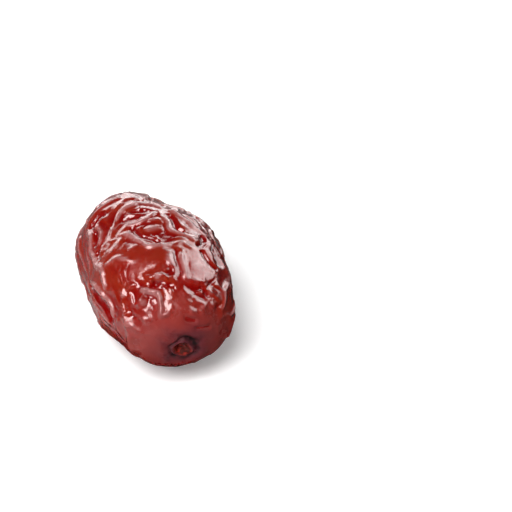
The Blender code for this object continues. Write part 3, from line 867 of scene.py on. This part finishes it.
def skin_material():
    """Glossy deep red skin: a deeper, darker red in the furrows and underneath as painted shade, paler pink
    on the crests as painted highlight with some waxy bloom, dusky round the stem end.
    """
    material, tree, shader = new_material("jujube_skin")
    place, axes = coordinates(tree)
    raised = measured(tree, "raised")
    relief = measured(tree, "relief")
    stem = measured(tree, "stem")
    haze = measured(tree, "haze")
    mottle = noise(tree, place, *MOTTLE)
    specks = noise(tree, place, *SPECKS)
    patches = noise(tree, place, *PATCHES)

    ragged = work(tree, "MULTIPLY", work(tree, "SUBTRACT", mottle, 0.5), BLOOM_RAGGEDNESS)
    ragged_stem = work(tree, "ADD", stem, ragged)
    # Painted shade: the furrows, and the underside low on the fruit, take the deeper, darker red
    underside_shade = between(tree, axes["Z"], *SHADED_UNDERSIDE)
    furrow_and_underside_shade = work(tree, "MAXIMUM", between(tree, relief, *SHADED_FURROWS), underside_shade)
    bloom = between(tree, furrow_and_underside_shade, *BLOOM)
    pink = work(tree, "MULTIPLY", bloom, between(tree, ragged_stem, *PINK))
    purple = work(tree, "MULTIPLY", bloom, between(tree, ragged_stem, *PURPLE))

    colour = blend_colour(tree, between(tree, mottle, *RUST), SKIN_RED, RUSTY_RED)
    colour = blend_colour(tree, furrow_and_underside_shade, colour, SHADE_RED)
    # Painted highlight, partly a waxy bloom: the crests are paler pink
    colour = blend_colour(tree, between(tree, raised, *CREST_WAX_AND_HIGHLIGHT), colour, CREST_WAX_AND_HIGHLIGHT_PINK)
    colour = blend_colour(tree, pink, colour, BLOOM_PINK)
    colour = blend_colour(tree, purple, colour, BLOOM_PURPLE)
    feed(tree, shader.inputs["Base Color"], stem_colours(tree, colour, stem, patches, specks))

    rough = between(tree, specks, *ROUGH_SKIN)
    rough = work(tree, "ADD", rough, work(tree, "MULTIPLY", bloom, between(tree, ragged_stem, *ROUGH_BLOOM)))
    for value, step in [(raised, ROUGH_CRESTS), (haze, ROUGH_HAZE), (relief, ROUGH_FURROWS)]:
        rough = work(tree, "ADD", rough, between(tree, value, *step))
    feed(tree, shader.inputs["Roughness"], rough)
    shader.inputs["Metallic"].default_value = 0.0
    shader.inputs["IOR"].default_value = SKIN_IOR
    add_grain(tree, shader, place)
    return material


# The floor: its size in metres, how far it lies under the fruit, and its look
FLOOR_SIZE = 6
FLOOR_DROP = 0.05 * MM
FLOOR_WHITE = (0.9, 0.9, 0.9, 1)
FLOOR_ROUGHNESS = 0.9

# Painted shade on the floor, seen only in the skin's reflections: where the floor is dark in them, right of
# a slanting line, close round the fruit in shares of its size, and behind it
FLOOR_SHADE_IN_REFLECTIONS = (0.02, 0.02, 0.02, 1)
DARK_SLANT = 0.6
DARK_RIGHT = (-25 * MM, 20 * MM)
DARK_ROUND = (1.5, 1.15)
DARK_BEHIND = (0, 25 * MM, 0, 0.75)

# How the floor grows whiter for the camera, with the distance from the fruit's middle
FLOOR_GLOW = (40 * MM, 140 * MM, 0.25)


def floor_material():
    """Plain white. In the skin's reflections it is darker beside and behind the fruit, as painted shade, and
    it is whiter for the camera.
    """
    material, tree, shader = new_material("floor_white")
    place, axes = coordinates(tree)
    rays = tree.nodes.new("ShaderNodeLightPath").outputs
    right = work(tree, "SUBTRACT", axes["X"], work(tree, "MULTIPLY", axes["Y"], DARK_SLANT))
    round_it = length_of(tree, place, (1 / HALF_WIDTH, 1 / HALF_LENGTH, 0))
    # Painted shade: the floor turns dark where the skin reflects it, beside and behind the fruit
    reflection_shade = work(tree, "MAXIMUM", between(tree, right, *DARK_RIGHT), between(tree, round_it, *DARK_ROUND))
    reflection_shade = work(tree, "MAXIMUM", reflection_shade, between(tree, axes["Y"], *DARK_BEHIND))
    reflection_shade = work(tree, "MULTIPLY", rays["Is Glossy Ray"], reflection_shade)
    feed(tree, shader.inputs["Base Color"], blend_colour(tree, reflection_shade, FLOOR_WHITE, FLOOR_SHADE_IN_REFLECTIONS))
    glow = work(tree, "MULTIPLY", rays["Is Camera Ray"], between(tree, length_of(tree, place), *FLOOR_GLOW))
    shader.inputs["Emission Color"].default_value = (1, 1, 1, 1)
    feed(tree, shader.inputs["Emission Strength"], glow)
    shader.inputs["Roughness"].default_value = FLOOR_ROUGHNESS
    shader.inputs["Specular IOR Level"].default_value = 0
    return material


def floor():
    """The plain white surface that the fruit lies on."""
    sheet = bmesh.new()
    bmesh.ops.create_grid(sheet, x_segments=1, y_segments=1, size=FLOOR_SIZE / 2)
    bmesh.ops.translate(sheet, vec=(0, 0, -FLOOR_DROP), verts=sheet.verts)
    mesh = bpy.data.meshes.new("floor")
    sheet.to_mesh(mesh)
    sheet.free()
    mesh.materials.append(floor_material())
    return put_in_scene("floor", mesh)


# The camera, fitted to the fruit's outline: its turn and tilt in degrees, its distance, how far the
# fruit's middle lies right of and above the picture's middle, and its lens and sensor in millimetres
CAMERA_TURN = -11.0
CAMERA_TILT = 36.0
CAMERA_DISTANCE = 300.0 * MM
FRUIT_RIGHT = -21.06 * MM
FRUIT_ABOVE = -4.62 * MM
LENS = 100
SENSOR = 36
NEAREST = 10 * MM


def camera():
    """The camera, at the photograph's viewing angle."""
    turn = math.radians(CAMERA_TURN)
    tilt = math.radians(CAMERA_TILT)
    right = Vector((math.cos(turn), math.sin(turn), 0))
    back = Vector((math.sin(turn) * math.cos(tilt), -math.cos(turn) * math.cos(tilt), math.sin(tilt)))
    up = back.cross(right)
    place = back * CAMERA_DISTANCE - right * FRUIT_RIGHT - up * FRUIT_ABOVE + Vector(MIDDLE)
    data = bpy.data.cameras.new("camera")
    data.lens = LENS
    data.sensor_width = SENSOR
    data.clip_start = NEAREST
    eye = put_in_scene("camera", data)
    eye.matrix_world = Matrix.Translation(place) @ Matrix((right, up, back)).transposed().to_4x4()
    bpy.context.scene.camera = eye


# The lights: compass turn from straight behind and height in degrees, distance, width and height in
# metres, and brightness. Some only give sheen on the skin and some only shade it, so that each can
# be set alone.
LIGHTS = {
    "fill_light": (215, 56, 0.75, 0.45, 0.45, 12.5),
    "key_light": (255, 62, 0.60, 0.37, 0.37, 18.0),
    "back_light": (-4, 11, 0.90, 1.00, 0.38, 4.8),
    "back_right_light": (38, 15, 0.90, 0.50, 0.30, 4.2),
    "right_light": (60, 36, 0.90, 0.75, 0.60, 7.0),
}
SHEEN_LIGHTS = ["key_light", "back_right_light", "right_light"]
SHADE_LIGHTS = ["fill_light"]
AIM = Vector((0, 0, 12 * MM))


def soft_box(name, turn, rise, distance, width, height, brightness):
    """A rectangular light that faces the fruit. Turn runs clockwise from straight behind it."""
    turn = math.radians(turn)
    rise = math.radians(rise)
    heading = Vector((math.sin(turn) * math.cos(rise), math.cos(turn) * math.cos(rise), math.sin(rise)))
    data = bpy.data.lights.new(name, "AREA")
    data.shape = "RECTANGLE"
    data.size = width
    data.size_y = height
    data.energy = brightness * math.pi * width * height
    light = put_in_scene(name, data)
    light.location = AIM + heading * distance
    light.rotation_euler = (-heading).to_track_quat("-Z", "Y").to_euler()
    light.visible_camera = False
    light.visible_diffuse = name not in SHEEN_LIGHTS
    light.visible_glossy = name not in SHADE_LIGHTS


# How the light from the surroundings fades, from the horizon upwards and towards the right
FADE_UPWARDS = (0.0, 0.12, 1.0, 0.03)
FADE_RIGHT = (0.0, 0.7, 1, 0.1)


def surroundings():
    """A white background for the camera, which lights the fruit only a little."""
    world = bpy.data.worlds.new("surroundings")
    bpy.context.scene.world = world
    world.use_nodes = True
    tree = world.node_tree
    background = tree.nodes["Background"]
    background.inputs["Color"].default_value = (1, 1, 1, 1)
    _, axes = coordinates(tree, "Generated")
    glow = between(tree, axes["Z"], *FADE_UPWARDS)
    glow = work(tree, "MULTIPLY", glow, between(tree, axes["X"], *FADE_RIGHT))
    seen = tree.nodes.new("ShaderNodeLightPath").outputs["Is Camera Ray"]
    feed(tree, background.inputs["Strength"], work(tree, "MAXIMUM", glow, seen))


fruit = skin()
fruit.data.materials.append(skin_material())
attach(fruit, "root")
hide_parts("dried_jujube")

floor()
for name, values in LIGHTS.items():
    soft_box(name, *values)
surroundings()
camera()
bpy.context.scene.view_settings.view_transform = "Standard"
